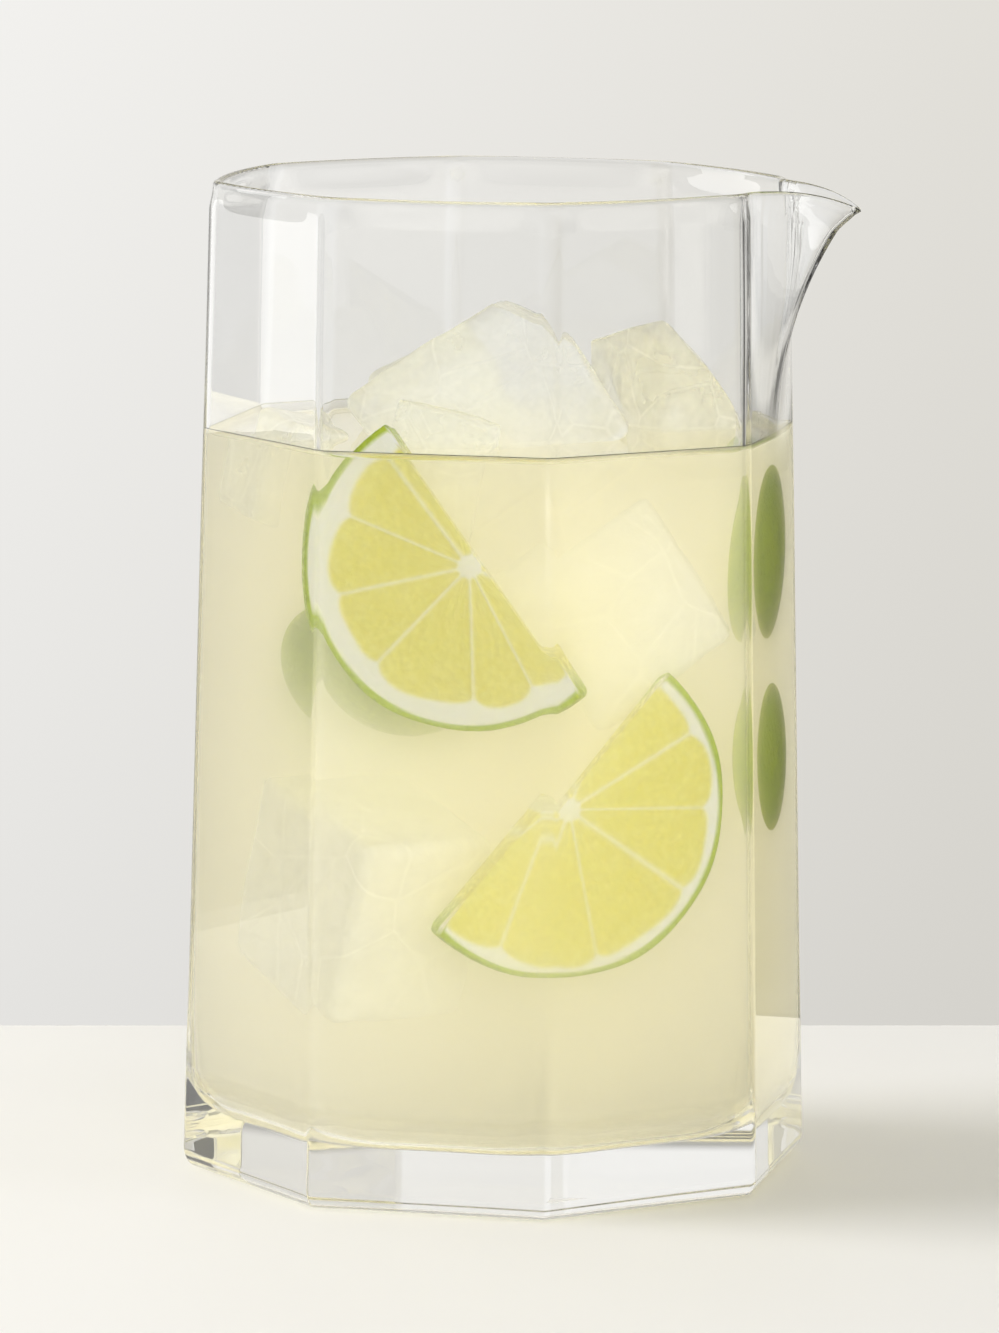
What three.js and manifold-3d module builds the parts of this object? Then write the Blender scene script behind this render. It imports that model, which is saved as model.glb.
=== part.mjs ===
import * as THREE from 'three';
import { mergeVertices } from 'three/addons/utils/BufferGeometryUtils.js';
import Module from 'manifold-3d';

const wasm = await Module();
wasm.setup();

// Driving dimensions, millimetres. +Z is up, z = 0 is the table, +X is the spout.
const HEIGHT = 170;             // rim above the table
const BASE_CORNER_R = 54.45;    // corner radius of the octagon at the table
const TOP_CORNER_R = 50.45;     // the same, extrapolated to the rim
const RIM_R = 49.2;             // circle that the rim is half way rounded to
const RIM_FLAT = 46.4;          // half width of the rim's octagon across its flats
const RIM_THICK = 1.5;
const PANELS = 8;
const HALF = Math.PI / PANELS;
const deg = Math.PI / 180;
const FLOOR_Z = 9.6;            // inside bottom of the vessel
const FLOOR_FILLET = 8;
const WALL_TOP = 1.4;           // wall under the rim
const WALL_GROWTH = 0.45;       // more of it towards the bottom
const WALL_HEEL = 1.6;          // and more again just above the inside bottom
const EDGE_ROUND = 3.4;         // rounding of the outer bottom edge
const PANEL_TOP = HEIGHT - 5;   // panels blend into the rim above this
const SPOUT_OUT = 14.5;         // how far the lip stands beyond the rim
const SPOUT_FALL = 54.7;        // height over which the spout runs out
const LIP_HALF = 17.8;          // half width of the lip, degrees round the axis
const FLARE_HALF = 22.8;        // half width of the flare below it
const SPOUT_DIP = 3.3;          // the lip is lower than the rim
const LIQUID_Z = 126.4;
const GAP = 0.45;               // drink to glass
const CLEAR = 2.5;              // room in the drink round each loose piece
const TURN = 13 * Math.PI / 180; // contents are laid out turned by this about Z

const group = new THREE.Group();
const colour = (hex, extra = {}) => new THREE.MeshStandardMaterial({ color: hex, roughness: 0.4, ...extra });

// ---------- solids ----------
function solidOf(geometry) {
  const bare = new THREE.BufferGeometry();
  const flat = geometry.index ? geometry : geometry.clone();
  bare.setAttribute('position', flat.getAttribute('position').clone());
  if (flat.index) bare.setIndex(flat.index.clone());
  const g = mergeVertices(bare, 1e-4);
  const tri = [];
  const idx = g.index.array;
  for (let i = 0; i < idx.length; i += 3) {
    const a = idx[i], b = idx[i + 1], c = idx[i + 2];
    if (a !== b && b !== c && c !== a) tri.push(a, b, c);
  }
  const make = (list) => new wasm.Manifold(new wasm.Mesh({
    numProp: 3,
    vertProperties: new Float32Array(g.getAttribute('position').array),
    triVerts: new Uint32Array(list),
  }));
  let s = make(tri);
  if (s.volume() < 0) {
    for (let i = 0; i < tri.length; i += 3) [tri[i + 1], tri[i + 2]] = [tri[i + 2], tri[i + 1]];
    s = make(tri);
  }
  return s;
}

function add(name, solid, material) {
  const m = solid.getMesh();
  const n = m.numProp;
  const pos = new Float32Array((m.vertProperties.length / n) * 3);
  for (let i = 0; i < pos.length / 3; i++) {
    for (let k = 0; k < 3; k++) pos[3 * i + k] = m.vertProperties[n * i + k];
  }
  const g = new THREE.BufferGeometry();
  g.setAttribute('position', new THREE.BufferAttribute(pos, 3));
  g.setIndex(new THREE.BufferAttribute(new Uint32Array(m.triVerts), 1));
  g.computeVertexNormals();
  const mesh = new THREE.Mesh(g, material);
  mesh.name = name;
  group.add(mesh);
}

// ---------- vessel ----------
// Section radius at angle t: an octagon of apothem a whose corners are rounded by rc.
function octagon(a, rc, t) {
  const step = 2 * HALF;
  const p = Math.abs(t - Math.round(t / step) * step);
  if (a * Math.tan(p) <= (a - rc) * Math.tan(HALF)) return a / Math.cos(p);
  const c = (a - rc) / Math.cos(HALF);
  const d = HALF - p;
  return c * Math.cos(d) + Math.sqrt(Math.max(0, rc * rc - (c * Math.sin(d)) ** 2));
}
const lerp = (a, b, k) => a + (b - a) * k;
const smooth = (k) => { const c = Math.min(1, Math.max(0, k)); return c * c * (3 - 2 * c); };
const cornerR = (z) => lerp(BASE_CORNER_R, TOP_CORNER_R, z / HEIGHT);
const heel = (z) => Math.exp(-Math.max(0, z - FLOOR_Z) / 9);
const wallAt = (z) => WALL_TOP + WALL_GROWTH * (1 - z / HEIGHT) + WALL_HEEL * heel(z);
const toRound = (z) => smooth((z - PANEL_TOP) / (HEIGHT - 1 - PANEL_TOP));
const outerCorner = (z) => lerp(1.5, 2.2, z / HEIGHT);

// The rim: half way between the octagon and a circle.
const rimRadius = (t) => lerp(octagon(RIM_FLAT, 6, t), RIM_R, 0.5);
function outerRadius(z, t) {
  return lerp(octagon(cornerR(z) * Math.cos(HALF), outerCorner(z), t), rimRadius(t), toRound(z));
}
// Inside corners follow the outside ones and turn much rounder near the bottom.
function innerRadius(z, t) {
  const a = cornerR(z) * Math.cos(HALF) - wallAt(z);
  const rc = Math.max(0.6, outerCorner(z) - wallAt(z)) + 0.5 * a * heel(z);
  return lerp(octagon(a, rc, t), rimRadius(t) - RIM_THICK, toRound(z));
}
// The spout: a wide flare of one panel that narrows to a pointed lip at the rim.
function spout(z, t) {
  const up = Math.min(1, (z - (HEIGHT - SPOUT_FALL)) / SPOUT_FALL);
  const w = Math.abs(Math.atan2(Math.sin(t), Math.cos(t))) / deg;
  if (up <= 0 || w >= FLARE_HALF) return [0, 0];
  const tip = Math.sqrt((w / LIP_HALF) ** 2 + 0.0036) - 0.06;
  const lip = Math.max(0, 1 - tip) ** 1.6;
  const b = lerp(Math.cos((Math.PI / 2) * (w / FLARE_HALF)) ** 2, lip, smooth((up - 0.4) / 0.6));
  return [SPOUT_OUT * up ** 2.48 * b, SPOUT_DIP * up ** 2 * b ** 2.5];
}

// Column angles: every panel corner and panel middle, with extra columns at the spout.
const ANGLES = [];
for (let i = 0; i < 64; i++) ANGLES.push((i * 2 * Math.PI) / 64);
for (const d of [1.4, 3.2, 8.4, 14.1, 19.7]) for (const s of [1, -1]) ANGLES.push(((360 + s * d) % 360) * deg);
for (let k = 0; k < PANELS; k++) for (const s of [1, -1]) if (k > 0 && k < 7 || s * (k - 3.5) < 0) ANGLES.push((22.5 + 45 * k + s * 1.1) * deg);
ANGLES.sort((a, b) => a - b);

// A turned profile whose rows are reshaped by angle.
function turned(rows) {
  const pts = rows.map((r) => new THREE.Vector2(r.axis ? 0 : 1, r.z));
  const n = ANGLES.length;
  const g = new THREE.LatheGeometry(pts, n);
  const p = g.getAttribute('position');
  for (let i = 0; i <= n; i++) {
    const t = ANGLES[i % n];
    rows.forEach((row, j) => {
      const [r, z] = row.axis ? [0, row.z] : row.at(t);
      p.setXYZ(i * rows.length + j, r * Math.cos(t), r * Math.sin(t), z);
    });
  }
  return solidOf(g);
}

const outerRow = (z, inset = 0, lift = null) => ({
  z, at: (t) => { const [o, d] = spout(z, t); return [outerRadius(z, t) + o - inset, (lift ?? z) - d]; },
});
const innerRow = (z, inset = 0, lift = null) => ({
  z, at: (t) => { const [o, d] = spout(z, t); return [innerRadius(z, t) + o - inset, (lift ?? z) - d]; },
});
const filletRows = (radius, zBottom, steps, gap = 0) => {
  const out = [];
  for (let i = 0; i <= steps; i++) {
    const q = (Math.PI / 2) * (i / steps);
    const z = zBottom + radius * (1 - Math.sin(q));
    out.push(innerRow(z, radius * (1 - Math.cos(q)) + gap, z + gap));
  }
  return out;
};

function glass() {
  const rows = [{ axis: true, z: 0 }];
  const steps = 4;
  for (let i = 0; i <= steps; i++) {
    const q = (Math.PI / 2) * (i / steps);
    rows.push(outerRow(EDGE_ROUND, EDGE_ROUND * 0.7 * (1 - Math.sin(q)), EDGE_ROUND * (1 - Math.cos(q))));
  }
  const levels = [40, 80, 115, 130, 140, 147, 152, 156.5, 160.5, 164, 166.6, 168];
  for (const z of levels) rows.push(outerRow(z));
  const m = RIM_THICK / 2;
  rows.push(outerRow(HEIGHT, 0, HEIGHT - 0.8));
  rows.push(outerRow(HEIGHT, m * 0.35, HEIGHT - 0.2));
  rows.push({ z: HEIGHT, at: (t) => { const [o, d] = spout(HEIGHT, t); return [rimRadius(t) - m + o, HEIGHT - d]; } });
  rows.push(innerRow(HEIGHT, -m * 0.35, HEIGHT - 0.2));
  rows.push(innerRow(HEIGHT, 0, HEIGHT - 0.8));
  for (const z of [...levels].reverse()) rows.push(innerRow(z));
  rows.push(innerRow(28));
  rows.push(...filletRows(FLOOR_FILLET, FLOOR_Z, 4));
  rows.push({ axis: true, z: FLOOR_Z });
  return turned(rows);
}

function drinkBody() {
  const rows = [{ axis: true, z: FLOOR_Z + GAP }];
  rows.push(...filletRows(FLOOR_FILLET, FLOOR_Z, 4, GAP).reverse());
  for (const z of [28, 40, 80, 115]) rows.push(innerRow(z, GAP));
  rows.push(innerRow(LIQUID_Z, GAP));
  rows.push({ axis: true, z: LIQUID_Z });
  return turned(rows);
}

// ---------- loose pieces ----------
function placed(geometry, at, turn) {
  const m = new THREE.Matrix4().makeRotationZ(TURN);
  m.multiply(new THREE.Matrix4().makeTranslation(...at));
  m.multiply(new THREE.Matrix4().makeRotationFromEuler(new THREE.Euler(turn[0] * deg, turn[1] * deg, turn[2] * deg, 'ZXY')));
  return geometry.clone().applyMatrix4(m);
}

// An ice block with melted, chamfered edges; x, y, z are full sizes.
function iceBlock([x, y, z], grow) {
  const c = 3.2;
  const hx = x / 2 + grow, hz = z / 2 + grow;
  const s = new THREE.Shape();
  s.moveTo(-hx + c, -hz); s.lineTo(hx - c, -hz); s.lineTo(hx, -hz + c); s.lineTo(hx, hz - c);
  s.lineTo(hx - c, hz); s.lineTo(-hx + c, hz); s.lineTo(-hx, hz - c); s.lineTo(-hx, -hz + c);
  s.closePath();
  const bevel = 2.4;
  const g = new THREE.ExtrudeGeometry(s, {
    depth: y + 2 * grow - 2 * bevel, bevelEnabled: true, bevelThickness: bevel, bevelSize: bevel,
    bevelOffset: -bevel, bevelSegments: 1, curveSegments: 1,
  });
  g.translate(0, 0, -(y + 2 * grow - 2 * bevel) / 2);
  g.rotateX(Math.PI / 2);
  return g;
}

// What is left of a solid below a plane through `point`, with `n` pointing out of it.
function cutAway(solid, [point, n]) {
  const g = new THREE.BoxGeometry(120, 120, 120).translate(0, 0, 60);
  g.applyQuaternion(new THREE.Quaternion().setFromUnitVectors(new THREE.Vector3(0, 0, 1), new THREE.Vector3(...n).normalize()));
  return solid.subtract(solidOf(placed(g, point, [0, 0, 0])));
}

// A half wheel of lime in the x-z plane: round side down, cut side up, `over` past the middle.
function halfWheel({ r, thick, over }, grow) {
  const R = r + grow, top = over + grow;
  const a = Math.asin(top / R);
  const s = new THREE.Shape();
  const n = 26;
  for (let i = 0; i <= n; i++) {
    const q = Math.PI - a + (i / n) * (Math.PI + 2 * a);
    if (i === 0) s.moveTo(R * Math.cos(q), R * Math.sin(q)); else s.lineTo(R * Math.cos(q), R * Math.sin(q));
  }
  s.closePath();
  const bevel = 0.7;
  const depth = thick + 2 * grow - 2 * bevel;
  const g = new THREE.ExtrudeGeometry(s, {
    depth, bevelEnabled: true, bevelThickness: bevel, bevelSize: bevel, bevelOffset: -bevel, bevelSegments: 1,
  });
  g.translate(0, 0, -depth / 2);
  g.rotateX(Math.PI / 2);
  return g;
}

// A cheek cut off the side of a lime: a dome toward +x with a flat cut face behind it.
function cheek({ r, high }, grow) {
  const pts = [];
  const R = r + grow, cut = r - high - grow;
  const end = Math.acos(cut / R);
  pts.push(new THREE.Vector2(0, cut));
  const n = 8;
  for (let i = n; i >= 1; i--) pts.push(new THREE.Vector2(R * Math.sin((end * i) / n), R * Math.cos((end * i) / n)));
  pts.push(new THREE.Vector2(0, R));
  const g = new THREE.LatheGeometry(pts, 28);
  g.translate(0, -(r - high / 2), 0);
  g.rotateZ(-Math.PI / 2);
  return g;
}

const ICE = {
  ice_centre: {
    size: [32, 19, 39], at: [-2.05, -1.2, 129.35], turn: [-9, 57, 0],
    cuts: [[[-0.9, 0, 149.2], [0.42, 0, 0.907]]],
  },
  ice_right: {
    size: [17, 26, 28], at: [27.9, 23.3, 132], turn: [0, 0, 32],
    cuts: [[[26.5, 9.5, 145.2], [-0.072, 0.279, 1]], [[28.6, 8.5, 145], [0.888, 0.673, 1]]],
  },
  ice_left: { size: [13.5, 15.2, 19], at: [-34.6, -5.6, 121], turn: [8, 12, 32] },
  ice_front: { size: [19, 7, 22], at: [-10.5, -20.8, 122], turn: [-8, 14, 4] },
  ice_rear: { size: [21, 16, 23], at: [-8.5, 25.5, 127], turn: [10, -28, 12] },
  ice_low_right: { size: [30, 11, 30], at: [17.2, -19.9, 98.8], turn: [-4, 56, 4] },
  ice_low_left: { size: [30, 28, 34], at: [-20.2, -19.8, 50], turn: [0, 18, -58] },
};
const LIME = {
  lime_upper: { make: halfWheel, dims: { r: 27.5, thick: 6.5, over: 1.9 }, at: [-3.9, -36.6, 108.4], turn: [-5, 53.5, -8] },
  lime_lower: { make: halfWheel, dims: { r: 28.6, thick: 6, over: 1.5 }, at: [9.2, -34.5, 67.6], turn: [0, -48, 17] },
  lime_cheek_upper: { make: cheek, dims: { r: 20, high: 7 }, at: [41.9, -2.3, 106.4], turn: [0, 4, -8] },
  lime_cheek_lower: { make: cheek, dims: { r: 17, high: 5.8 }, at: [42.9, -3.8, 71.5], turn: [0, -4, -13] },
  lime_cheek_left: { make: cheek, dims: { r: 17, high: 8 }, at: [-18.5, -21.6, 86.3], turn: [0, 35, -120] },
};

add('glass_body', glass(), colour(0xdfe6e4, { transparent: true, opacity: 0.35, roughness: 0.05 }));

let liquid = drinkBody();
const pieces = [];
for (const [name, d] of Object.entries(ICE)) {
  const block = (d.cuts ?? []).reduce(cutAway, solidOf(placed(iceBlock(d.size, 0), d.at, d.turn)));
  pieces.push([name, block, colour(0xf2f4ee, { roughness: 0.2 })]);
  liquid = liquid.subtract(solidOf(placed(iceBlock(d.size, CLEAR), d.at, d.turn)));
}
for (const [name, d] of Object.entries(LIME)) {
  pieces.push([name, solidOf(placed(d.make(d.dims, 0), d.at, d.turn)), colour(0xa9bf3f)]);
  liquid = liquid.subtract(solidOf(placed(d.make(d.dims, CLEAR), d.at, d.turn)));
}
const bits = liquid.decompose();
bits.sort((a, b) => b.volume() - a.volume());
add('drink', bits[0], colour(0xeadf9f, { roughness: 0.1 }));
for (const [name, solid, material] of pieces) add(name, solid, material);

export default group;
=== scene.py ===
import math
import random

import bpy
import bmesh
from mathutils import Matrix, Vector, noise


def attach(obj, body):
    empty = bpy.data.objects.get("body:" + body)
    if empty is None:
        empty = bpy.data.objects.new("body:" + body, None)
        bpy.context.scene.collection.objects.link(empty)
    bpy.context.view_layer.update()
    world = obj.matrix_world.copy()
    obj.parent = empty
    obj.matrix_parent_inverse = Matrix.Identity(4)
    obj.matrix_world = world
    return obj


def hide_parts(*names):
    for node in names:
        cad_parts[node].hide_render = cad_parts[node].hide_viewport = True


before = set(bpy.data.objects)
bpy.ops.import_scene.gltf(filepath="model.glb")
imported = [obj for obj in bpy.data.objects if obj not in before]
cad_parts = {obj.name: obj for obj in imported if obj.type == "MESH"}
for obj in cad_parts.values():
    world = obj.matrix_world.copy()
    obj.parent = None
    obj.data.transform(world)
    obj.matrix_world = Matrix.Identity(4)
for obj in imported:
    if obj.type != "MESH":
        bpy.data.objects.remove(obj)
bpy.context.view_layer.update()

# ---------------------------------------------------------------- dimensions, millimetres, as in the CAD
MM = 0.001
HEIGHT = 170.0
BASE_CORNER_R = 54.45
TOP_CORNER_R = 50.45
RIM_R = 49.2
RIM_FLAT = 46.4
RIM_THICK = 1.5
HALF = math.pi / 8
FLOOR_Z = 9.6
FLOOR_FILLET = 8.0
WALL_TOP = 1.4
WALL_GROWTH = 0.45
WALL_HEEL = 1.6
EDGE_ROUND = 3.4
PANEL_TOP = HEIGHT - 5
SPOUT_OUT = 14.5
SPOUT_FALL = 54.7
LIP_HALF = 17.8
FLARE_HALF = 22.8
SPOUT_DIP = 3.3
LIQUID_Z = 126.4
TURN = math.radians(13)

# size, place, turn, flat cuts as (point, outward normal)
ICE = {
    "ice_centre": ((32, 19, 39), (-2.05, -1.2, 129.35), (-9, 57, 0), [((-0.9, 0, 149.2), (0.42, 0, 0.907))]),
    "ice_right": ((17, 26, 28), (27.9, 23.3, 132), (0, 0, 32), [
        ((26.5, 9.5, 145.2), (-0.072, 0.279, 1)), ((28.6, 8.5, 145), (0.888, 0.673, 1))]),
    "ice_left": ((13.5, 15.2, 19), (-34.6, -5.6, 121), (8, 12, 32), []),
    "ice_front": ((19, 7, 22), (-10.5, -20.8, 122), (-8, 14, 4), []),
    "ice_rear": ((21, 16, 23), (-8.5, 25.5, 127), (10, -28, 12), []),
    "ice_low_right": ((30, 11, 30), (17.2, -19.9, 98.8), (-4, 56, 4), []),
    "ice_low_left": ((30, 28, 34), (-20.2, -19.8, 50), (0, 18, -58), []),
}
WHEELS = {
    "lime_upper": (27.5, 6.5, 1.9, (-3.9, -36.6, 108.4), (-5, 53.5, -8), 0.1),
    "lime_lower": (28.6, 6.0, 1.5, (9.2, -34.5, 67.6), (0, -48, 17), 0.1),
}
CHEEKS = {
    "lime_cheek_upper": (20.0, 7.0, (41.9, -2.3, 106.4), (0, 4, -8)),
    "lime_cheek_lower": (17.0, 5.8, (42.9, -3.8, 71.5), (0, -4, -13)),
    "lime_cheek_left": (17.0, 8.0, (-18.5, -21.6, 86.3), (0, 35, -120)),
}


# ---------------------------------------------------------------- helpers
def lerp(a, b, k):
    return a + (b - a) * k


def clamp(v, lo=0.0, hi=1.0):
    return max(lo, min(hi, v))


def smooth(k):
    k = clamp(k)
    return k * k * (3 - 2 * k)


def placed(at, turn):
    """Row-frame matrix of a loose piece, in metres."""
    rx, ry, rz = (math.radians(v) for v in turn)
    m = Matrix.Rotation(TURN, 4, "Z") @ Matrix.Translation(Vector(at) * MM)
    return m @ Matrix.Rotation(rz, 4, "Z") @ Matrix.Rotation(rx, 4, "X") @ Matrix.Rotation(ry, 4, "Y")


def mesh_object(name, verts, faces, matrix=None, attributes=None):
    me = bpy.data.meshes.new(name)
    me.from_pydata(verts, [], faces)
    me.update()
    bm = bmesh.new()
    bm.from_mesh(me)
    if bm.calc_volume(signed=True) < 0:
        bmesh.ops.reverse_faces(bm, faces=bm.faces[:])
        bm.to_mesh(me)
    bm.free()
    me.polygons.foreach_set("use_smooth", [True] * len(me.polygons))
    for key, values in (attributes or {}).items():
        layer = me.attributes.new(key, "FLOAT", "POINT")
        layer.data.foreach_set("value", values)
    ob = bpy.data.objects.new(name, me)
    bpy.context.scene.collection.objects.link(ob)
    if matrix is not None:
        ob.matrix_world = matrix
    return ob


def finish_piece(ob, node, body, material):
    ob.data.materials.clear()
    ob.data.materials.append(material)
    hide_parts(node)
    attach(ob, body)


class Nodes:
    """Short hand for a material's node tree."""

    def __init__(self, name):
        self.material = bpy.data.materials.new(name)
        self.material.use_nodes = True
        self.tree = self.material.node_tree
        self.tree.nodes.clear()
        self.out = self.tree.nodes.new("ShaderNodeOutputMaterial")

    def add(self, kind, **values):
        n = self.tree.nodes.new(kind)
        for k, v in values.items():
            setattr(n, k, v)
        return n

    def link(self, a, b):
        self.tree.links.new(a, b)

    def noise(self, vector, scale, detail=3.0, rough=0.5):
        n = self.add("ShaderNodeTexNoise")
        n.inputs["Scale"].default_value = scale
        n.inputs["Detail"].default_value = detail
        n.inputs["Roughness"].default_value = rough
        self.link(vector, n.inputs["Vector"])
        return n.outputs["Fac"]

    def ramp(self, fac, stops):
        n = self.add("ShaderNodeValToRGB")
        el = n.color_ramp.elements
        while len(el) > 1:
            el.remove(el[0])
        el[0].position, el[0].color = stops[0][0], stops[0][1]
        for pos, col in stops[1:]:
            e = el.new(pos)
            e.color = col
        self.link(fac, n.inputs["Fac"])
        return n.outputs["Color"]

    def mix(self, fac, a, b):
        n = self.add("ShaderNodeMix", data_type="RGBA")
        for value, socket in ((fac, n.inputs[0]), (a, n.inputs[6]), (b, n.inputs[7])):
            if hasattr(value, "links"):
                self.link(value, socket)
            else:
                socket.default_value = value
        return n.outputs[2]

    def range(self, value, a, b, lo=0.0, hi=1.0):
        n = self.add("ShaderNodeMapRange")
        n.inputs["From Min"].default_value = a
        n.inputs["From Max"].default_value = b
        n.inputs["To Min"].default_value = lo
        n.inputs["To Max"].default_value = hi
        self.link(value, n.inputs["Value"])
        return n.outputs["Result"]

    def math(self, op, a, b=None):
        n = self.add("ShaderNodeMath", operation=op)
        for value, socket in ((a, n.inputs[0]), (b, n.inputs[1])):
            if value is None:
                continue
            if hasattr(value, "links"):
                self.link(value, socket)
            else:
                socket.default_value = value
        return n.outputs[0]

    def bump(self, height, strength, distance):
        n = self.add("ShaderNodeBump")
        n.inputs["Strength"].default_value = strength
        n.inputs["Distance"].default_value = distance
        self.link(height, n.inputs["Height"])
        return n.outputs["Normal"]

    def object_coords(self):
        return self.add("ShaderNodeTexCoord").outputs["Object"]

    def attribute(self, name):
        return self.add("ShaderNodeAttribute", attribute_name=name).outputs["Fac"]

    def principled(self, **values):
        n = self.add("ShaderNodeBsdfPrincipled")
        for k, v in values.items():
            socket = n.inputs[k.replace("_", " ")]
            if hasattr(v, "links"):
                self.link(v, socket)
            else:
                socket.default_value = v
        return n

    def see_through_shadow(self, shader, tint):
        """Light passes a clear surface on its way to what it lights."""
        path = self.add("ShaderNodeLightPath")
        clear = self.add("ShaderNodeBsdfTransparent")
        clear.inputs["Color"].default_value = tint
        n = self.add("ShaderNodeMixShader")
        self.link(path.outputs["Is Shadow Ray"], n.inputs[0])
        self.link(shader, n.inputs[1])
        self.link(clear.outputs[0], n.inputs[2])
        return n.outputs[0]


# ---------------------------------------------------------------- materials
def glass_material():
    n = Nodes("clear_glass")
    co = n.object_coords()
    place = n.add("ShaderNodeSeparateXYZ")
    n.link(co, place.inputs[0])
    upper = n.range(place.outputs["Z"], 0.06, 0.13, 0.0, 1.0)
    waves = n.math("MULTIPLY", n.noise(co, 26.0, 1.0, 0.4), upper)
    p = n.principled(
        Base_Color=(0.997, 1.0, 0.998, 1), Roughness=0.0, IOR=1.5, Transmission_Weight=1.0,
        Normal=n.bump(waves, 0.04, 0.002),
    )
    n.link(n.see_through_shadow(p.outputs[0], (0.985, 0.99, 0.986, 1)), n.out.inputs["Surface"])
    return n.material


def drink_material():
    n = Nodes("drink")
    p = n.principled(Base_Color=(1.0, 0.998, 0.985, 1), Roughness=0.0, IOR=1.34, Transmission_Weight=1.0)
    n.link(n.see_through_shadow(p.outputs[0], (0.99, 0.988, 0.97, 1)), n.out.inputs["Surface"])
    scatter = n.add("ShaderNodeVolumeScatter")
    scatter.inputs["Color"].default_value = (1, 1, 1, 1)
    scatter.inputs["Anisotropy"].default_value = 0.7
    # cloudy to the eye, but most of the light that it deflects still goes on through
    path = n.add("ShaderNodeLightPath")
    n.link(n.range(path.outputs["Is Shadow Ray"], 0.0, 1.0, 62.0, 14.0), scatter.inputs["Density"])
    absorb = n.add("ShaderNodeVolumeAbsorption")
    absorb.inputs["Color"].default_value = (0.96, 0.8, 0.0, 1)
    absorb.inputs["Density"].default_value = 5.0
    both = n.add("ShaderNodeAddShader")
    n.link(scatter.outputs[0], both.inputs[0])
    n.link(absorb.outputs[0], both.inputs[1])
    n.link(both.outputs[0], n.out.inputs["Volume"])
    return n.material


def ice_material(name, seed, sunken):
    """Wet ice: clear and cloudy patches, with a whiter body where it lies under the drink."""
    n = Nodes(name)
    shift = n.add("ShaderNodeMapping")
    shift.inputs["Location"].default_value = (seed * 0.37, seed * 0.11, seed * 0.23)
    n.link(n.object_coords(), shift.inputs["Vector"])
    co = shift.outputs[0]
    big = n.noise(co, 55.0, 3.0, 0.5)
    fine = n.noise(co, 330.0, 4.0, 0.6)
    cracks = n.add("ShaderNodeTexVoronoi", feature="DISTANCE_TO_EDGE")
    cracks.inputs["Scale"].default_value = 75.0
    n.link(co, cracks.inputs["Vector"])
    crack = n.range(cracks.outputs["Distance"], 0.0, 0.03, 1.0, 0.0)
    low, high = (0.55, 0.85) if sunken else (0.22, 0.72)
    frost = n.range(n.math("ADD", big, n.math("MULTIPLY", fine, 0.22)), 0.46, 0.78, low, high)
    frost = n.math("MINIMUM", n.math("ADD", frost, n.math("MULTIPLY", crack, 0.12)), 1.0)
    height = n.math("ADD", big, n.math("MULTIPLY", fine, 0.12))
    normal = n.bump(height, 0.22, 0.0012)
    place = n.add("ShaderNodeSeparateXYZ")
    n.link(n.add("ShaderNodeNewGeometry").outputs["Position"], place.inputs[0])
    dry = n.range(place.outputs["Z"], LIQUID_Z * MM - 0.0006, LIQUID_Z * MM + 0.0006, 1.03, 1.31)
    clear = n.principled(
        Base_Color=(0.992, 0.993, 0.975, 1), Roughness=n.range(fine, 0.3, 0.7, 0.03, 0.2),
        Transmission_Weight=1.0, Normal=normal,
    )
    clear.inputs["IOR"].default_value = 1.31
    n.link(dry, clear.inputs["IOR"])
    milky = n.principled(
        Base_Color=(0.975, 0.972, 0.925, 1), Roughness=0.38, IOR=1.31, Transmission_Weight=0.35, Normal=normal,
    )
    n_mix = n.add("ShaderNodeMixShader")
    n.link(frost, n_mix.inputs[0])
    n.link(clear.outputs[0], n_mix.inputs[1])
    n.link(milky.outputs[0], n_mix.inputs[2])
    n.link(n.see_through_shadow(n_mix.outputs[0], (0.95, 0.95, 0.92, 1)), n.out.inputs["Surface"])
    return n.material


def lime_material(name, red, green):
    """Cut lime; red and green tone the peel, which is paler where it is only a thin edge."""
    n = Nodes(name)
    co = n.object_coords()
    pulp, rind = n.attribute("pulp"), n.attribute("rind")
    cells = n.noise(co, 900.0, 3.0, 0.55)
    soft = n.noise(co, 120.0, 3.0, 0.5)
    pores = n.add("ShaderNodeTexVoronoi", feature="F1")
    pores.inputs["Scale"].default_value = 700.0
    n.link(co, pores.inputs["Vector"])
    pore = n.range(pores.outputs["Distance"], 0.0, 0.45, 0.0, 1.0)
    flesh = n.mix(soft, (0.82, 0.76, 0.1, 1), (0.88, 0.82, 0.2, 1))
    # the pale flecks that follow the fine cell noise are painted highlights on the wet juice cells, partly also the
    # cells' own paler tone
    flesh = n.mix(n.range(cells, 0.35, 0.7, 0.0, 0.45), flesh, (0.93, 0.89, 0.36, 1))
    white = n.mix(soft, (0.95, 0.94, 0.76, 1), (0.97, 0.96, 0.86, 1))
    peel = n.mix(soft, (0.36 * red, 0.5 * green, 0.004, 1), (0.55 * red, 0.66 * green, 0.01, 1))
    peel = n.mix(n.range(pore, 0.0, 0.5, 0.3, 0.0), peel, (0.22 * red, 0.32 * green, 0.003, 1))
    colour = n.mix(rind, n.mix(pulp, white, flesh), peel)
    height = n.math("ADD", n.math("MULTIPLY", n.math("MULTIPLY", cells, pulp), 0.8), n.math("MULTIPLY", n.math("MULTIPLY", pore, rind), 1.0))
    p = n.principled(
        Base_Color=colour, Roughness=n.range(cells, 0.3, 0.7, 0.16, 0.34), IOR=1.38,
        Subsurface_Weight=0.35, Subsurface_Scale=0.004, Normal=n.bump(height, 0.5, 0.0006),
    )
    p.inputs["Subsurface Radius"].default_value = (1.0, 0.9, 0.35)
    n.link(p.outputs[0], n.out.inputs["Surface"])
    return n.material


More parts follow.
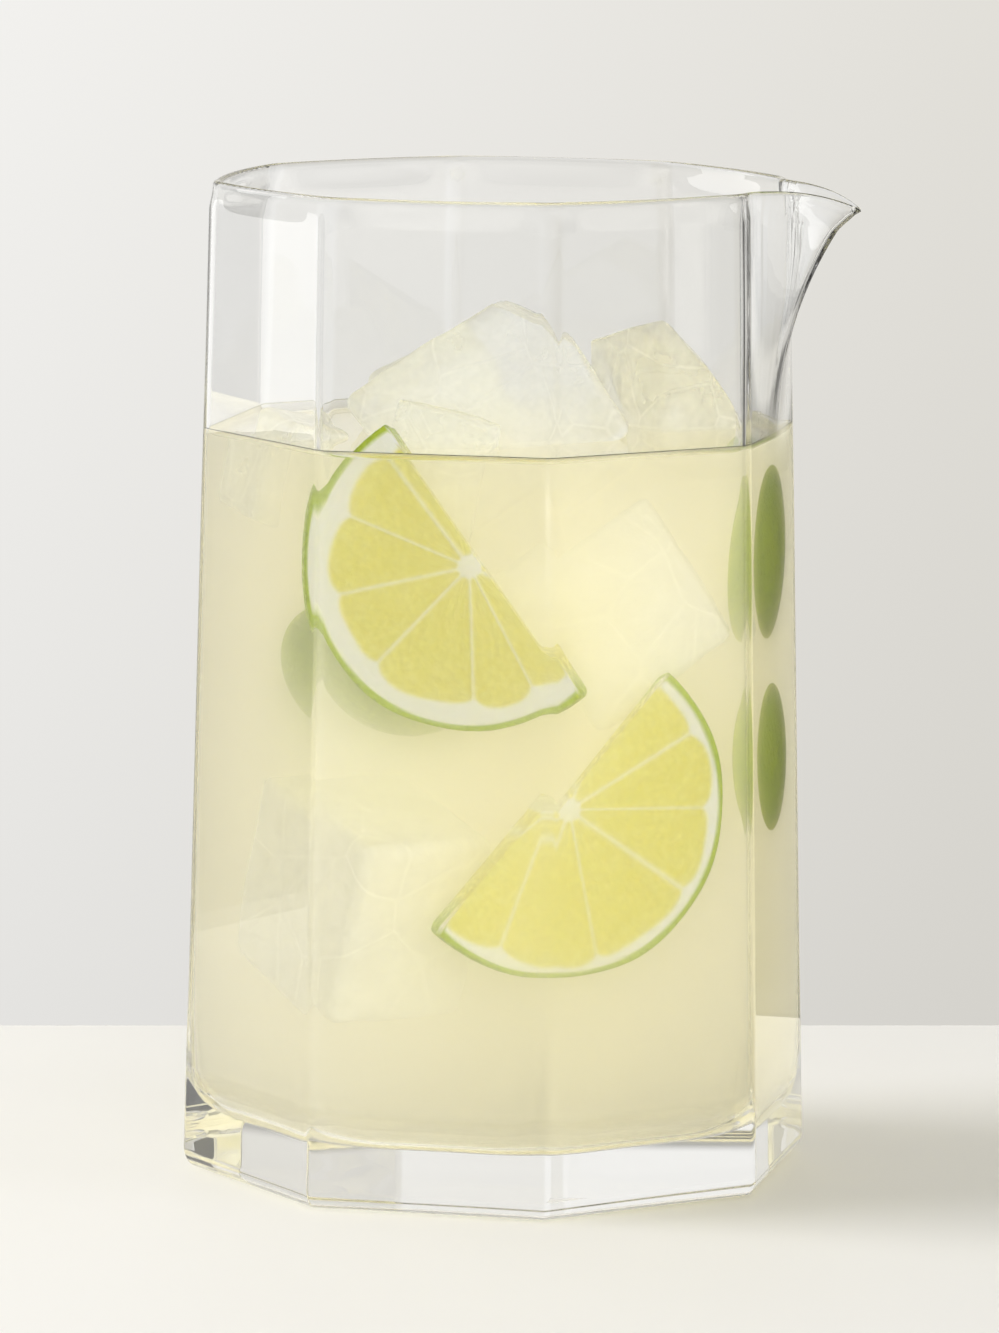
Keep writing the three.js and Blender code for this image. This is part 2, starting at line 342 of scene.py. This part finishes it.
# ---------------------------------------------------------------- vessel shapes
def octagon(a, rc, t):
    step = 2 * HALF
    p = abs(t - round(t / step) * step)
    if a * math.tan(p) <= (a - rc) * math.tan(HALF):
        return a / math.cos(p)
    c = (a - rc) / math.cos(HALF)
    d = HALF - p
    return c * math.cos(d) + math.sqrt(max(0.0, rc * rc - (c * math.sin(d)) ** 2))


def corner_r(z):
    return lerp(BASE_CORNER_R, TOP_CORNER_R, z / HEIGHT)


def heel(z):
    return math.exp(-max(0.0, z - FLOOR_Z) / 9.0)


def wall_at(z):
    return WALL_TOP + WALL_GROWTH * (1 - z / HEIGHT) + WALL_HEEL * heel(z)


def to_round(z):
    return smooth((z - PANEL_TOP) / (HEIGHT - 1 - PANEL_TOP))


def outer_corner(z):
    return lerp(1.5, 2.2, z / HEIGHT) + 1.5 * smooth((z - 16) / 24) + 1.8 * smooth((z - 108) / 40)


def rim_radius(t):
    return lerp(octagon(RIM_FLAT, 6.0, t), RIM_R, 0.5)


def outer_radius(z, t):
    return lerp(octagon(corner_r(z) * math.cos(HALF), outer_corner(z), t), rim_radius(t), to_round(z))


def inner_radius(z, t):
    a = corner_r(z) * math.cos(HALF) - wall_at(z)
    rc = max(0.6, outer_corner(z) - wall_at(z)) + 0.5 * a * heel(z)
    return lerp(octagon(a, rc, t), rim_radius(t) - RIM_THICK, to_round(z))


def spout(z, t):
    up = min(1.0, (z - (HEIGHT - SPOUT_FALL)) / SPOUT_FALL)
    w = abs(math.degrees(math.atan2(math.sin(t), math.cos(t))))
    if up <= 0 or w >= FLARE_HALF:
        return 0.0, 0.0
    tip = math.sqrt((w / LIP_HALF) ** 2 + 0.0036) - 0.06
    lip = max(0.0, 1 - tip) ** 1.6
    b = lerp(math.cos(math.pi / 2 * w / FLARE_HALF) ** 2, lip, smooth((up - 0.4) / 0.6))
    return SPOUT_OUT * up ** 2.48 * b, SPOUT_DIP * up ** 2 * b ** 2.5


def columns():
    offs = [0, 0.3, 0.6, 0.9, 1.2, 1.55, 1.95, 2.4, 3.0, 3.7, 4.6, 5.8, 7.3, 9.2, 11.5, 14, 17, 20]
    out = set()
    for k in range(8):
        c = 22.5 + 45 * k
        for o in offs:
            out.add(round((c + o) % 360, 4))
            out.add(round((c - o) % 360, 4))
        out.add(round((45 * k) % 360, 4))
    for o in (0.4, 0.8, 1.3, 1.9, 2.6, 3.4, 4.2, 5.1, 6.1, 7.2, 8.4, 9.7, 12, 13.2, 15.5, 16.6, 17.8, 19):
        out.add(o)
        out.add(360 - o)
    return [math.radians(v) for v in sorted(out)]


def turned(name, rows):
    """rows: a number is a point on the axis, otherwise a function of angle giving (radius, height)."""
    angles = columns()
    n = len(angles)
    verts, faces, start = [], [], []
    for row in rows:
        start.append(len(verts))
        if isinstance(row, (int, float)):
            verts.append((0.0, 0.0, row * MM))
            continue
        for t in angles:
            r, z = row(t)
            verts.append((r * math.cos(t) * MM, r * math.sin(t) * MM, z * MM))
    for i in range(len(rows) - 1):
        a, b = start[i], start[i + 1]
        pa, pb = isinstance(rows[i], (int, float)), isinstance(rows[i + 1], (int, float))
        for j in range(n):
            k = (j + 1) % n
            if pa:
                faces.append((a, b + k, b + j))
            elif pb:
                faces.append((a + j, a + k, b))
            else:
                faces.append((a + j, a + k, b + k, b + j))
    return mesh_object(name, verts, faces)


def outer_row(z, inset=0.0, lift=None):
    def at(t):
        o, d = spout(z, t)
        return outer_radius(z, t) + o - inset, (z if lift is None else lift) - d
    return at


def inner_row(z, inset=0.0, lift=None):
    def at(t):
        o, d = spout(z, t)
        return inner_radius(z, t) + o - inset, (z if lift is None else lift) - d
    return at


def shrunk(row, k, z):
    """The row's outline scaled towards the axis, at height z."""
    return lambda t: (row(t)[0] * k, z)


def glass_piece():
    rows = [0.0]
    first = outer_row(EDGE_ROUND, EDGE_ROUND * 0.7, 0.0)
    for k in (0.3, 0.7, 0.97):
        rows.append(shrunk(first, k, 0.0))
    steps = 10
    for i in range(steps + 1):
        q = math.pi / 2 * i / steps
        rows.append(outer_row(EDGE_ROUND, EDGE_ROUND * 0.7 * (1 - math.sin(q)), EDGE_ROUND * (1 - math.cos(q))))
    zs = [5.2, 7, 12, 18.4, 21, 24, 28, 34, 40, 60, 80, 100, 115] + [118 + 3 * i for i in range(8)] + [141 + 1.2 * i for i in range(20)]
    zs += [164.9 + 0.45 * i for i in range(9)]
    for z in zs:
        rows.append(outer_row(z))
    m = RIM_THICK / 2
    for i in range(0, 9):
        q = math.pi * i / 8
        rows.append(lambda t, q=q: (
            rim_radius(t) - m + m * math.cos(q) + spout(HEIGHT, t)[0],
            HEIGHT - m + m * math.sin(q) - spout(HEIGHT, t)[1],
        ))
    for z in reversed(zs):
        if z > FLOOR_Z + FLOOR_FILLET + 1:
            rows.append(inner_row(z))
    rows += fillet_rows(14)
    last = fillet_rows(14)[-1]
    for k in (0.97, 0.7, 0.3):
        rows.append(shrunk(last, k, FLOOR_Z))
    rows.append(FLOOR_Z)
    ob = turned("glass_body_visual", rows)
    ob.modifiers.new("normals", "WEIGHTED_NORMAL")
    return ob


def fillet_rows(steps, grow=0.0):
    out = []
    for i in range(steps + 1):
        q = math.pi / 2 * i / steps
        z = FLOOR_Z + FLOOR_FILLET * (1 - math.sin(q))
        out.append(inner_row(z, FLOOR_FILLET * (1 - math.cos(q)) - grow * math.cos(q), z - grow * math.sin(q)))
    return out


def drink_piece():
    grow = 0.12
    rows = [FLOOR_Z - grow]
    fill = list(reversed(fillet_rows(14, grow)))
    for k in (0.3, 0.7, 0.97):
        rows.append(shrunk(fill[0], k, FLOOR_Z - grow))
    rows += fill
    for z in (18.4, 21, 24, 28, 34, 40, 60, 80, 100, 115, 118, 121, 124):
        rows.append(inner_row(z, -grow))
    edge = inner_row(LIQUID_Z, -grow)

    def surface(d):
        def at(t):
            r = edge(t)[0]
            rr = r - d if d < 12 else (r - 12) * (1 - (d - 12) / 40.0)
            rise = 1.5 * math.exp(-d / 1.25)
            x, y = rr * math.cos(t), rr * math.sin(t)
            ripple = 0.22 * noise.noise(Vector((x * 0.07, y * 0.07, 3.3))) * smooth(d / 4)
            return rr, LIQUID_Z + rise + ripple
        return at

    for d in (0.0, 0.12, 0.3, 0.55, 0.85, 1.2, 1.7, 2.3, 3.1, 4.2, 6, 9, 12, 16, 20, 25, 30, 36, 42, 47):
        rows.append(surface(d))
    rows.append(LIQUID_Z)
    ob = turned("drink_visual", rows)
    ob.modifiers.new("normals", "WEIGHTED_NORMAL")
    return ob


# ---------------------------------------------------------------- ice
def ice_piece(name, size, at, turn, flats, seed):
    rnd = random.Random(seed)
    half = Vector(size) / 2
    rad = min(2.6, min(size) * 0.2)
    melt = 1.1 if name == "ice_left" else 0.45
    n = 44
    index, verts, faces = {}, [], []

    def spread(i):
        u = 2 * i / n - 1
        return math.copysign(1 - (1 - abs(u)) ** 1.35, u)

    def vert(p):
        key = tuple(round(c, 6) for c in p)
        if key not in index:
            index[key] = len(verts)
            verts.append(Vector(p))
        return index[key]

    for axis in range(3):
        for side in (-1, 1):
            for i in range(n):
                for j in range(n):
                    quad = []
                    for a, b in ((i, j), (i + 1, j), (i + 1, j + 1), (i, j + 1)):
                        p = [0, 0, 0]
                        p[axis] = side
                        p[(axis + 1) % 3] = spread(a)
                        p[(axis + 2) % 3] = spread(b)
                        quad.append(vert(p))
                    faces.append(quad if side > 0 else quad[::-1])
    # chips: flat cuts across some corners and edges
    cuts = []
    for _ in range(5):
        d = Vector((rnd.choice((-1, 1)), rnd.choice((-1, 1)), rnd.choice((-1, 0, 0, 1))))
        if rnd.random() < 0.5:
            d = Vector((d.z, d.x, d.y))
        d = (d + Vector((rnd.uniform(-0.3, 0.3) for _ in range(3)))).normalized()
        reach = sum(abs(d[k]) * half[k] for k in range(3))
        cuts.append((d, reach - rnd.uniform(0.05, 0.1) * min(size)))
    own = placed((0, 0, 0), turn).to_3x3()
    spin = Matrix.Rotation(TURN, 3, "Z")
    for point, normal in flats:
        d = own.transposed() @ (spin @ Vector(normal).normalized())
        cuts.append((d, d.dot(own.transposed() @ (spin @ (Vector(point) - Vector(at))))))
    out = []
    for v in verts:
        p = Vector(v[k] * half[k] for k in range(3))
        c = Vector(max(-(half[k] - rad), min(half[k] - rad, p[k])) for k in range(3))
        d = p - c
        nrm = d.normalized()
        p = c + nrm * rad
        for cn, cd in cuts:
            over = p.dot(cn) - cd
            if over > 0:
                p -= cn * over * 0.96
        s = Vector((seed * 3.1, seed * 1.7, seed * 0.9))
        low = noise.noise(p * 0.075 + s)
        mid = noise.noise(p * 0.21 + s * 2)
        fine = noise.noise(p * 0.62 + s * 3)
        p = p + nrm * (-melt + 0.6 * low + 0.26 * mid + 0.07 * fine)
        out.append(p * MM)
    ob = mesh_object(name + "_visual", [tuple(p) for p in out], faces, placed(at, turn))
    return ob


# ---------------------------------------------------------------- lime
def pulp_mask(r, q, R, seed):
    """1 in the juicy segments, 0 in the membranes, the core and the pith."""
    count = 10
    step = 2 * math.pi / count
    wob = 0.07 * math.sin(3 * q + seed) + 0.05 * math.sin(5 * q + 2.1 * seed)
    k = (q + wob + seed) / step
    away = abs(k - round(k)) * step            # angle to the nearest membrane
    side = away * r                            # millimetres to it
    rim = R - (3.9 if seed < 1 else 2.2) - 0.5 * math.sin(7 * q + seed)
    # rounded outer corners of a segment
    out = rim - r - 1.6 * math.exp(-side / 1.5)
    inn = r - 1.5 - 0.9 * math.exp(-side / 0.8)
    edge = min(side - 0.1, out, inn)
    return smooth(edge / 1.0 + 0.42)


def wheel_piece(name, R, thick, over, at, turn, taper):
    """A half wheel: the x-z plane is the slice, round side down, the -y face is the one seen."""
    seed = 0.7 if name == "lime_upper" else 2.15
    nq, nr = 380, 72
    verts, faces, pulp, rind = [], [], [], []
    top = over - 0.15

    def reach(q, depth):
        """Outline radius; the wheel narrows a little towards its back, as on the whole fruit."""
        s, c = math.sin(q), math.cos(q)
        rr = R * (1 + 0.006 * math.sin(4 * q + seed) + 0.004 * math.sin(9 * q)) - taper * depth
        if s > 1e-6:
            rr = min(rr, top / s)
        return rr

    half = thick / 2
    rings = []
    # front face from the middle outwards, then round the edge, then the back face inwards
    front = [(i / nr) for i in range(1, nr + 1)]
    plan = [("front", s) for s in front]
    plan += [("edge", k / 14) for k in range(1, 14)]
    plan += [("back", s) for s in reversed(front)]
    centre_front = len(verts)
    verts.append((0, -half, 0)); pulp.append(0.0); rind.append(0.0)
    for kind, s in plan:
        ring = []
        for j in range(nq):
            q = 2 * math.pi * j / nq + 1e-4
            if kind == "edge":
                y = -half + 0.35 + (thick - 0.7) * s
                depth = y + half
                rr = reach(q, depth)
                cut = math.sin(q) > 1e-6 and rr >= top / math.sin(q) - 1e-6
                x, z = rr * math.cos(q), rr * math.sin(q)
                bulge = 0.0 if cut else 0.35 * math.sin(math.pi * s) + 0.1 * noise.noise(Vector((x, y, z)) * 0.8)
                rr += bulge
                full = math.hypot(x, z)
                is_rind = 0.0 if cut and full < R - 1.1 - taper * depth else 1.0
                m = pulp_mask(full, q, R, seed) if cut else 0.0
            else:
                depth = 0 if kind == "front" else thick
                rr = reach(q, depth) * (s ** 0.93)
                lip = 0.35 * smooth((s - 0.985) / 0.015)
                m = pulp_mask(rr, q, R - taper * depth, seed)
                grain = noise.noise(Vector((rr * 0.35, q * 9.0, seed))) * 0.5 + noise.noise(Vector((rr * 1.1, q * 22.0, seed))) * 0.35
                relief = 0.32 * m - 0.26 * m * grain + 0.12 * noise.noise(Vector((rr * math.cos(q), rr * math.sin(q), seed)) * 0.09)
                y = (-half + lip + relief) if kind == "front" else (half - lip - relief)
                is_rind = smooth((rr - (R - taper * depth) + 1.25) / 0.5)
            ring.append(len(verts))
            verts.append((rr * math.cos(q), y, rr * math.sin(q)))
            pulp.append(m); rind.append(is_rind)
        rings.append(ring)
    centre_back = len(verts)
    verts.append((0, half, 0)); pulp.append(0.0); rind.append(0.0)
    for j in range(nq):
        k = (j + 1) % nq
        faces.append((centre_front, rings[0][k], rings[0][j]))
        faces.append((centre_back, rings[-1][j], rings[-1][k]))
    for a, b in zip(rings, rings[1:]):
        for j in range(nq):
            k = (j + 1) % nq
            faces.append((a[j], a[k], b[k], b[j]))
    verts = [(x * MM, y * MM, z * MM) for x, y, z in verts]
    return mesh_object(name + "_visual", verts, faces, placed(at, turn), {"pulp": pulp, "rind": rind})


def cheek_piece(name, R, high, at, turn):
    """A cheek cut off the side of the fruit: the dome looks along +x."""
    seed = {"lime_cheek_upper": 1.3, "lime_cheek_lower": 3.4, "lime_cheek_left": 5.2}[name]
    cut = R - high
    end = math.acos(cut / R)
    rim = R * math.sin(end)
    nq, nd, nf = 200, 46, 40
    verts, faces, pulp, rind, rings = [], [], [], [], []

    def put(x, rr, q, m, k):
        verts.append(((x - (R - high / 2)) * MM, rr * math.cos(q) * MM, rr * math.sin(q) * MM))
        pulp.append(m); rind.append(k)
        return len(verts) - 1

    apex = put(R, 0, 0, 0.0, 1.0)
    for i in range(1, nd + 1):
        e = end * i / nd
        ring = []
        for j in range(nq):
            q = 2 * math.pi * j / nq
            b = 0.22 * noise.noise(Vector((math.cos(e), math.sin(e) * math.cos(q), math.sin(e) * math.sin(q))) * 6 + Vector((seed, 0, 0)))
            rr = R - 0.2 + b * smooth((nd - i) / 6)
            ring.append(put(rr * math.cos(e), rr * math.sin(e), q, 0.0, 1.0))
        rings.append(ring)
    for i in range(nf - 1, 0, -1):
        s = i / nf
        ring = []
        for j in range(nq):
            q = 2 * math.pi * j / nq
            rr = (rim - 0.25) * s
            m = pulp_mask(rr + 1.5, q, rim, seed)
            ring.append(put(cut + 0.2 * m, rr, q, m, smooth((rr - rim + 1.3) / 0.5)))
        rings.append(ring)
    mid = put(cut, 0, 0, 0.0, 0.0)
    for j in range(nq):
        k = (j + 1) % nq
        faces.append((apex, rings[0][j], rings[0][k]))
        faces.append((mid, rings[-1][k], rings[-1][j]))
    for a, b in zip(rings, rings[1:]):
        for j in range(nq):
            k = (j + 1) % nq
            faces.append((a[j], b[j], b[k], a[k]))
    return mesh_object(name + "_visual", verts, faces, placed(at, turn), {"pulp": pulp, "rind": rind})


# ---------------------------------------------------------------- build
finish_piece(glass_piece(), "glass_body", "pitcher", glass_material())
finish_piece(drink_piece(), "drink", "pitcher", drink_material())
for i, (name, (size, at, turn, flats)) in enumerate(ICE.items()):
    finish_piece(ice_piece(name, size, at, turn, flats, 11 + 7 * i), name, name, ice_material("ice_%d" % i, i, "low" in name))
lime = lime_material("lime", 1.0, 1.0)
for name, (R, thick, over, at, turn, taper) in WHEELS.items():
    finish_piece(wheel_piece(name, R, thick, over, at, turn, taper), name, name, lime)
lime_outside = lime_material("lime_outside", 0.86, 0.84)
for name, (R, high, at, turn) in CHEEKS.items():
    finish_piece(cheek_piece(name, R, high, at, turn), name, name, lime_outside)

# ---------------------------------------------------------------- stage
turn_view = Matrix.Rotation(TURN, 4, "Z")


def floor_material():
    n = Nodes("floor")
    co = n.object_coords()
    tone = n.mix(n.noise(co, 9.0, 4.0, 0.6), (0.88, 0.87, 0.845, 1), (0.91, 0.903, 0.88, 1))
    p = n.principled(Base_Color=tone, Roughness=0.55, Normal=n.bump(n.noise(co, 160.0, 4.0), 0.05, 0.001))
    p.inputs["Specular IOR Level"].default_value = 0.3
    n.link(p.outputs[0], n.out.inputs["Surface"])
    return n.material


def stage_mesh(name, verts, faces, material):
    me = bpy.data.meshes.new(name)
    me.from_pydata(verts, [], faces)
    me.materials.append(material)
    ob = bpy.data.objects.new(name, me)
    ob.matrix_world = turn_view
    bpy.context.scene.collection.objects.link(ob)
    return ob


EDGE = 0.126
LEAN = 0.038                    # the far edge runs level in the picture
floor = stage_mesh(
    "floor",
    [(x, y, z) for z in (-0.0004, -0.03) for x, y in ((-3, -4), (3, -4), (3, EDGE + 3 * LEAN), (-3, EDGE - 3 * LEAN))],
    [(0, 1, 2, 3), (7, 6, 5, 4), (3, 2, 6, 7), (0, 4, 5, 1), (1, 5, 6, 2), (0, 3, 7, 4)],
    floor_material(),
)

scene = bpy.context.scene
world = bpy.data.worlds.new("studio")
scene.world = world
world.use_nodes = True
wt = world.node_tree
wt.nodes.clear()
w_out = wt.nodes.new("ShaderNodeOutputWorld")
w_bg = wt.nodes.new("ShaderNodeBackground")
w_co = wt.nodes.new("ShaderNodeTexCoord")
w_xyz = wt.nodes.new("ShaderNodeSeparateXYZ")
w_az = wt.nodes.new("ShaderNodeMath"); w_az.operation = "ARCTAN2"
w_map = wt.nodes.new("ShaderNodeMapRange")
w_ramp = wt.nodes.new("ShaderNodeValToRGB")
wt.links.new(w_co.outputs["Generated"], w_xyz.inputs[0])
wt.links.new(w_xyz.outputs["X"], w_az.inputs[0])
wt.links.new(w_xyz.outputs["Y"], w_az.inputs[1])
w_map.inputs["From Min"].default_value = -math.pi
w_map.inputs["From Max"].default_value = math.pi
wt.links.new(w_az.outputs[0], w_map.inputs["Value"])
wt.links.new(w_map.outputs["Result"], w_ramp.inputs["Fac"])


def heading(deg):
    """Ramp position of a direction: degrees clockwise from +Y, seen from above."""
    return ((deg + 180) % 360) / 360


def pale(v):
    return (v, v * 0.99, v * 0.965, 1)


def warm(v):
    return (v, v * 0.975, v * 0.91, 1)


# round the horizon: a bright soft panel on the left, darker surroundings on the right
stops = [
    (-179.9, pale(0.6)), (-150, pale(0.16)), (-112, pale(0.16)), (-104, pale(0.62)), (-76, pale(0.62)), (-68, pale(0.76)),
    (-48, pale(0.8)), (-30, pale(0.84)), (-17, pale(0.84)), (-9, warm(0.7)), (7, warm(0.68)),
    (9, warm(0.14)), (18, warm(0.14)), (21, warm(0.66)), (33, warm(0.66)), (38, pale(0.1)), (108, pale(0.1)), (115, pale(0.7)),
    (126, pale(0.75)), (144, pale(0.75)), (152, pale(0.5)), (179.9, pale(0.6)),
]


def fill_ramp(ramp, marks):
    el = ramp.color_ramp.elements
    while len(el) > 1:
        el.remove(el[0])
    el[0].position, el[0].color = heading(marks[0][0]), marks[0][1]
    for deg, col in marks[1:]:
        e = el.new(heading(deg))
        e.color = col


fill_ramp(w_ramp, stops)
# above eye level the narrow dark strip on the right is missing
w_high = wt.nodes.new("ShaderNodeValToRGB")
wt.links.new(w_map.outputs["Result"], w_high.inputs["Fac"])
fill_ramp(w_high, [m for m in stops if not 8 < m[0] < 20])
w_level = wt.nodes.new("ShaderNodeMapRange")
for key, v in (("From Min", 0.0), ("From Max", 0.04), ("To Min", 0.0), ("To Max", 1.0)):
    w_level.inputs[key].default_value = v
wt.links.new(w_xyz.outputs["Z"], w_level.inputs["Value"])
w_band = wt.nodes.new("ShaderNodeMix"); w_band.data_type = "RGBA"
wt.links.new(w_level.outputs["Result"], w_band.inputs[0])
wt.links.new(w_ramp.outputs["Color"], w_band.inputs[6])
wt.links.new(w_high.outputs["Color"], w_band.inputs[7])
# the wall is a little lighter higher up
w_fall = wt.nodes.new("ShaderNodeMapRange")
for key, v in (("From Min", -0.19), ("From Max", -0.05), ("To Min", 0.93), ("To Max", 1.08)):
    w_fall.inputs[key].default_value = v
wt.links.new(w_xyz.outputs["Z"], w_fall.inputs["Value"])
w_tone = wt.nodes.new("ShaderNodeVectorMath"); w_tone.operation = "SCALE"
wt.links.new(w_band.outputs[2], w_tone.inputs[0])
wt.links.new(w_fall.outputs["Result"], w_tone.inputs["Scale"])
# overhead: one large pale ceiling
w_up = wt.nodes.new("ShaderNodeMapRange")
w_up.interpolation_type = "SMOOTHSTEP"
for key, v in (("From Min", 0.2), ("From Max", 0.45), ("To Min", 0.0), ("To Max", 1.0)):
    w_up.inputs[key].default_value = v
wt.links.new(w_xyz.outputs["Z"], w_up.inputs["Value"])
w_mix = wt.nodes.new("ShaderNodeMix"); w_mix.data_type = "RGBA"
wt.links.new(w_up.outputs["Result"], w_mix.inputs[0])
wt.links.new(w_tone.outputs[0], w_mix.inputs[6])
w_mix.inputs[7].default_value = pale(0.4)
wt.links.new(w_mix.outputs[2], w_bg.inputs["Color"])
w_bg.inputs["Strength"].default_value = 1.0
wt.links.new(w_bg.outputs[0], w_out.inputs["Surface"])


def area_light(name, at, aim, size, power, colour=(1, 1, 1), seen=True):
    data = bpy.data.lights.new(name, "AREA")
    data.shape = "RECTANGLE"
    data.size, data.size_y = size
    data.energy = power
    data.color = colour
    ob = bpy.data.objects.new(name, data)
    bpy.context.scene.collection.objects.link(ob)
    at, aim = turn_view @ Vector(at), turn_view @ Vector(aim)
    ob.location = at
    ob.rotation_mode = "QUATERNION"
    ob.rotation_quaternion = (aim - at).to_track_quat("-Z", "Y")
    ob.visible_camera = False
    ob.visible_glossy = ob.visible_transmission = seen
    return ob


def lights_only(light, *receivers):
    group = bpy.data.collections.new(light.name + "_on")
    for ob in receivers:
        group.objects.link(ob)
    light.light_linking.receiver_collection = group


key = area_light("key", (-1.25, 0.0, 0.85), (0.1, 0, 0), (0.8, 0.8), 19.0, (1.0, 0.985, 0.95), False)
lights_only(key, floor)
area_light("left", (-1.3, 0.1, 0.4), (0, 0, 0.06), (0.6, 0.6), 1.5, (1.0, 0.99, 0.97), False)
area_light("front", (0.35, -1.7, 0.42), (0, 0, 0.07), (1.0, 0.8), 12.5, (1, 1, 1), False)
area_light("right", (1.3, -0.5, 0.5), (0, 0, 0.05), (0.5, 0.5), 4.0, (1.0, 0.97, 0.9), False)
area_light("glow", (-0.95, 1.05, 0.14), (0.01, 0, 0.04), (0.5, 0.5), 5.2, (1.0, 0.985, 0.94), False)
panel = area_light("panel", (-1.8, 0.88, 0.432), (0, 0, 0.1), (0.7, 1.0), 4.0, (1, 1, 1), True)
panel.visible_transmission = panel.visible_diffuse = panel.visible_volume_scatter = False

cam_data = bpy.data.cameras.new("camera")
cam_data.sensor_width = 36
cam_data.lens = 8114.7 / 1333 * 36
cam_data.clip_start, cam_data.clip_end = 0.01, 100
cam = bpy.data.objects.new("camera", cam_data)
scene.collection.objects.link(cam)
cam.matrix_world = (
    turn_view @ Matrix.Translation((0.00026, -1.38, 0.28345))
    @ Matrix.Rotation(math.pi / 2 - 0.1421, 4, "X") @ Matrix.Rotation(math.radians(0.4), 4, "Z")
)
scene.camera = cam

scene.view_settings.view_transform = "Standard"
scene.view_settings.look = "None"
scene.cycles.max_bounces = 48
scene.cycles.transmission_bounces = 32
scene.cycles.transparent_max_bounces = 24
scene.cycles.volume_bounces = 32
scene.cycles.diffuse_bounces = 4
scene.cycles.glossy_bounces = 40
scene.cycles.blur_glossy = 0.5
